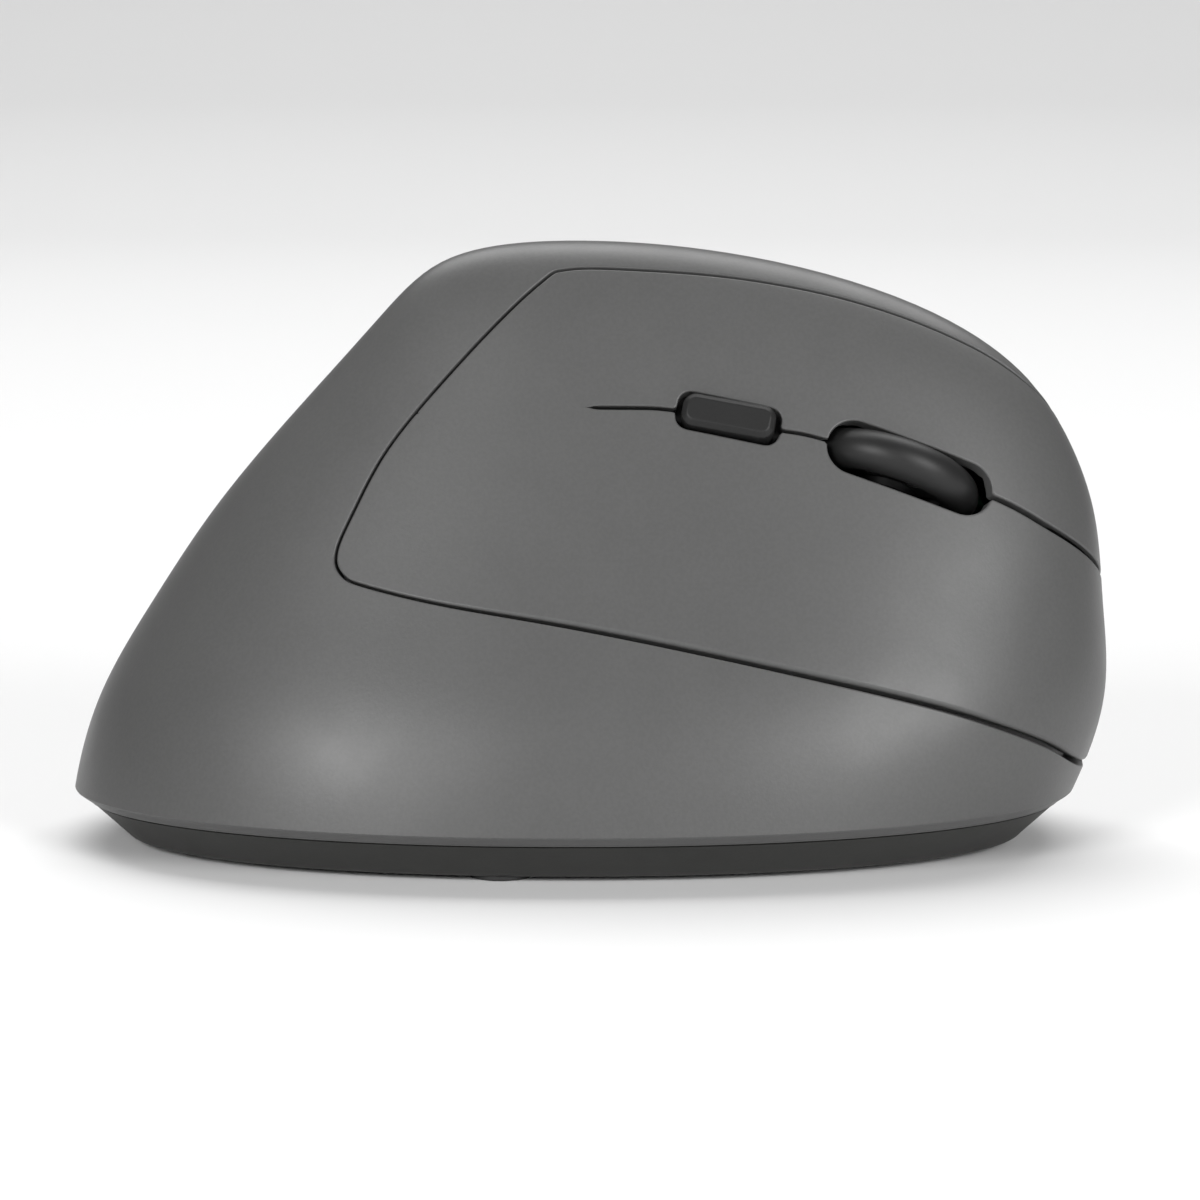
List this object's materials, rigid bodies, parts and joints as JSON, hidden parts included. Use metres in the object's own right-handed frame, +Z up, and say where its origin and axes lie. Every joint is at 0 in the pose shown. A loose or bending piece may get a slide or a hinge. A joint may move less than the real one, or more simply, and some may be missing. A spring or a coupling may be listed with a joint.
{
  "type": "vertical computer mouse",
  "caption": "Right-handed upright wireless mouse: leaning grip casing with two clicking keys, a scroll wheel, a step button, thumb buttons, battery door and stored receiver.",
  "frame": {"origin": "on the desk, under the middle of the casing's bounding box", "axes": "+X towards the nose, +Y towards the thumb side, +Z up"},
  "size_m": [0.1206, 0.0754, 0.07],
  "materials": {
    "casing_plastic": "satin moulded, fine grain",
    "key_plastic": "satin moulded, fine grain",
    "base_plastic": "matte moulded",
    "button_black": "satin moulded",
    "wheel_rubber": "smooth satin rubber",
    "wheel_plastic": "moulded",
    "foot_ptfe": "waxy white",
    "steel": "zinc plated",
    "board_green": "solder-masked board",
    "switch_black": "moulded",
    "pin_white": "moulded",
    "chassis_plastic": "moulded",
    "cell_jacket": "printed film, plain",
    "lens_clear": "clear moulded",
    "led_red": "tinted clear",
    "chip_black": "moulded package",
    "can_metal": "plain",
    "socket_white": "moulded",
    "ribbon_grey": "flexible film",
    "receiver_black": "moulded"
  },
  "bodies": {
    "casing": {"body_shell": "casing_plastic", "key_plate": "key_plastic", "base_plate": "base_plastic", "glide_feet": "foot_ptfe", "base_screws": "steel", "power_switch": "can_metal", "battery_cell": "cell_jacket", "battery_terminal": "steel", "battery_spring": "steel", "battery_contact": "steel", "chassis_plate": "chassis_plastic", "chassis_screws": "steel", "button_board": "board_green", "board_screws": "steel", "left_switch": "switch_black", "right_switch": "switch_black", "dpi_switch": "switch_black", "wheel_switch": "switch_black", "encoder_reader": "switch_black", "side_board": "board_green", "side_screws": "steel", "forward_switch": "switch_black", "back_switch": "switch_black", "main_board": "board_green", "main_screws": "steel", "optical_sensor": "chip_black", "sensor_lens": "lens_clear", "sensor_led": "led_red", "controller_chip": "chip_black", "crystal": "can_metal", "capacitors": "can_metal", "ribbon_cable": "ribbon_grey", "ribbon_sockets": "socket_white", "side_ribbon": "ribbon_grey"},
    "left_key": {"left_button": "key_plastic"},
    "right_key": {"right_button": "key_plastic"},
    "step_key": {"dpi_button": "button_black"},
    "forward_key": {"forward_button": "button_black"},
    "back_key": {"back_button": "button_black"},
    "cradle": {"wheel_cradle": "chassis_plastic"},
    "wheel": {"wheel_hub": "wheel_plastic", "wheel_tyre": "wheel_rubber", "encoder_disc": "can_metal"},
    "door": {"battery_door": "base_plastic"},
    "slider": {"power_slider": "button_black"},
    "receiver": {"receiver_cap": "receiver_black", "receiver_plug": "steel"},
    "left_pin": {"left_plunger": "pin_white"},
    "right_pin": {"right_plunger": "pin_white"},
    "step_pin": {"dpi_plunger": "pin_white"},
    "wheel_pin": {"wheel_plunger": "pin_white"},
    "forward_pin": {"forward_plunger": "pin_white"},
    "back_pin": {"back_plunger": "pin_white"}
  },
  "joints": [
    {"name": "left_click", "type": "hinge", "parent": "casing", "child": "left_key", "pos_m": [0.001, -0.01479, 0.05655], "axis": [0, 0.4226, 0.9063], "range_deg": [0, 0.4], "stiffness_Nm_per_rad": 0.6, "springref_deg": -0.57},
    {"name": "right_click", "type": "hinge", "parent": "casing", "child": "right_key", "pos_m": [0.001, -0.0224, 0.04023], "axis": [0, 0.4226, 0.9063], "range_deg": [0, 0.4], "stiffness_Nm_per_rad": 0.6, "springref_deg": -0.57},
    {"name": "step_press", "type": "slide", "parent": "casing", "child": "step_key", "axis": [0, 0.9063, -0.4226], "range_m": [0, 0.0005], "stiffness_N_per_m": 400, "springref_m": -0.0006},
    {"name": "wheel_press", "type": "slide", "parent": "casing", "child": "cradle", "axis": [0, 0.9063, -0.4226], "range_m": [0, 0.0005], "stiffness_N_per_m": 400, "springref_m": -0.0006},
    {"name": "wheel_spin", "type": "hinge", "parent": "cradle", "child": "wheel", "pos_m": [0.0346, -0.01097, 0.04296], "axis": [0.304, 0.4026, 0.8634], "continuous": true},
    {"name": "forward_press", "type": "slide", "parent": "casing", "child": "forward_key", "axis": [0, -1, 0], "range_m": [0, 0.0005], "stiffness_N_per_m": 400, "springref_m": -0.0006},
    {"name": "back_press", "type": "slide", "parent": "casing", "child": "back_key", "axis": [0, -1, 0], "range_m": [0, 0.0005], "stiffness_N_per_m": 400, "springref_m": -0.0006},
    {"name": "power_slide", "type": "slide", "parent": "casing", "child": "slider", "axis": [1, 0, 0], "range_m": [0, 0.0025]},
    {"name": "door_swing", "type": "hinge", "parent": "casing", "child": "door", "pos_m": [0.0192, 0.014, 0.0015], "axis": [0, -1, 0], "range_deg": [0, 60]},
    {"name": "receiver_pull", "type": "slide", "parent": "casing", "child": "receiver", "axis": [0, 0, -1], "range_m": [0, 0.012]},
    {"name": "left_switch_pin", "type": "slide", "parent": "casing", "child": "left_pin", "axis": [0, 0.9063, -0.4226], "range_m": [0, 0.0003]},
    {"name": "right_switch_pin", "type": "slide", "parent": "casing", "child": "right_pin", "axis": [0, 0.9063, -0.4226], "range_m": [0, 0.0003]},
    {"name": "step_switch_pin", "type": "slide", "parent": "casing", "child": "step_pin", "axis": [0, 0.9063, -0.4226], "range_m": [0, 0.00055]},
    {"name": "wheel_switch_pin", "type": "slide", "parent": "casing", "child": "wheel_pin", "axis": [0, 0.9063, -0.4226], "range_m": [0, 0.00055]},
    {"name": "forward_switch_pin", "type": "slide", "parent": "casing", "child": "forward_pin", "axis": [0, -1, 0], "range_m": [0, 0.00055]},
    {"name": "back_switch_pin", "type": "slide", "parent": "casing", "child": "back_pin", "axis": [0, -1, 0], "range_m": [0, 0.00055]}
  ],
  "couplings": [
    {"joint": "left_switch_pin", "follows": "left_click", "m_per_rad": 0.0343},
    {"joint": "right_switch_pin", "follows": "right_click", "m_per_rad": 0.0308},
    {"joint": "step_switch_pin", "follows": "step_press", "ratio": 1},
    {"joint": "wheel_switch_pin", "follows": "wheel_press", "ratio": 1},
    {"joint": "forward_switch_pin", "follows": "forward_press", "ratio": 1},
    {"joint": "back_switch_pin", "follows": "back_press", "ratio": 1}
  ]
}
